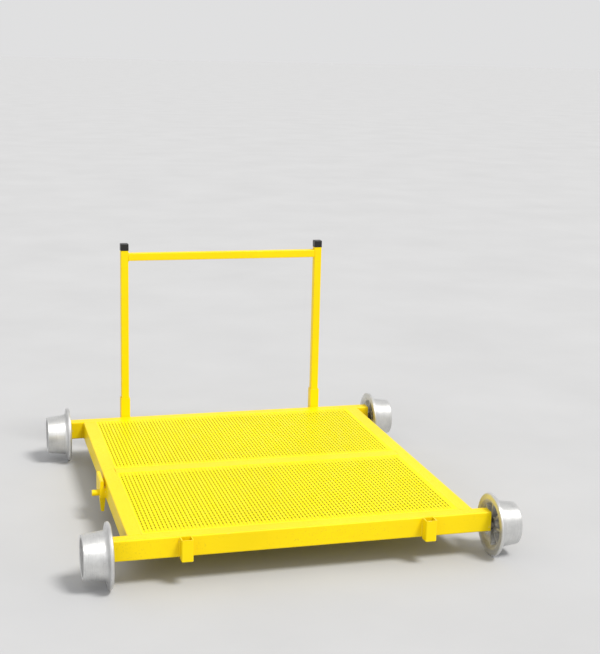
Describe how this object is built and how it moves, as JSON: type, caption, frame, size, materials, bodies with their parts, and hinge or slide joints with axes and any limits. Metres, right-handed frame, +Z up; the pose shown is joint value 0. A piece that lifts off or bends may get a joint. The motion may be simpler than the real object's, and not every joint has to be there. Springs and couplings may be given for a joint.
{
  "type": "railway handcar",
  "caption": "Flat yellow push cart for railway track: perforated deck, flanged metal wheels, stake pockets in front and a lift-out push handle behind.",
  "frame": {"origin": "on the floor under the wheel flanges, at the middle of the cart's length and width", "axes": "+X across the track towards the right wheels, +Y along the track towards the push handle, +Z up"},
  "size_m": [1.534, 1.6, 0.926],
  "materials": {
    "frame_paint": "semi-gloss yellow paint, lightly worn",
    "deck_paint": "yellow paint on anti-slip perforated sheet",
    "handle_paint": "semi-gloss yellow paint",
    "wheel_cast": "satin, cast and turned",
    "axle_steel": "dull",
    "bush_metal": "turned",
    "cap_plastic": "moulded, matt"
  },
  "bodies": {
    "frame": {"end_beam_front": "frame_paint", "deck_panel_front": "deck_paint", "end_plate_front_left": "frame_paint", "end_plate_front_right": "frame_paint", "end_beam_rear": "frame_paint", "deck_panel_rear": "deck_paint", "end_plate_rear_left": "frame_paint", "end_plate_rear_right": "frame_paint", "side_rail_left": "frame_paint", "stake_pocket_left": "frame_paint", "handle_socket_left": "frame_paint", "side_rail_right": "frame_paint", "stake_pocket_right": "frame_paint", "handle_socket_right": "frame_paint", "middle_crossmember": "frame_paint", "side_bracket": "frame_paint", "side_peg": "frame_paint", "stub_axle_front_left": "axle_steel", "axle_spacer_front_left": "axle_steel", "axle_nut_front_left": "axle_steel", "stub_axle_front_right": "axle_steel", "axle_spacer_front_right": "axle_steel", "axle_nut_front_right": "axle_steel", "stub_axle_rear_left": "axle_steel", "axle_spacer_rear_left": "axle_steel", "axle_nut_rear_left": "axle_steel", "stub_axle_rear_right": "axle_steel", "axle_spacer_rear_right": "axle_steel", "axle_nut_rear_right": "axle_steel"},
    "handle": {"handle_upright_left": "handle_paint", "handle_upright_right": "handle_paint", "handle_crossbar": "handle_paint", "handle_cap_left": "cap_plastic", "handle_cap_right": "cap_plastic"},
    "wheel_front_left": {"wheel_front_left": "wheel_cast", "wheel_bush_front_left": "bush_metal"},
    "wheel_front_right": {"wheel_front_right": "wheel_cast", "wheel_bush_front_right": "bush_metal"},
    "wheel_rear_left": {"wheel_rear_left": "wheel_cast", "wheel_bush_rear_left": "bush_metal"},
    "wheel_rear_right": {"wheel_rear_right": "wheel_cast", "wheel_bush_rear_right": "bush_metal"}
  },
  "joints": [
    {"name": "handle_lift", "type": "slide", "parent": "frame", "child": "handle", "axis": [0, 0, 1], "range_m": [0, 0.16]},
    {"name": "wheel_front_left_spin", "type": "hinge", "parent": "frame", "child": "wheel_front_left", "pos_m": [-0.72, -0.688, 0.112], "axis": [1, 0, 0], "continuous": true},
    {"name": "wheel_front_right_spin", "type": "hinge", "parent": "frame", "child": "wheel_front_right", "pos_m": [0.72, -0.688, 0.112], "axis": [1, 0, 0], "continuous": true},
    {"name": "wheel_rear_left_spin", "type": "hinge", "parent": "frame", "child": "wheel_rear_left", "pos_m": [-0.72, 0.688, 0.112], "axis": [1, 0, 0], "continuous": true},
    {"name": "wheel_rear_right_spin", "type": "hinge", "parent": "frame", "child": "wheel_rear_right", "pos_m": [0.72, 0.688, 0.112], "axis": [1, 0, 0], "continuous": true}
  ]
}
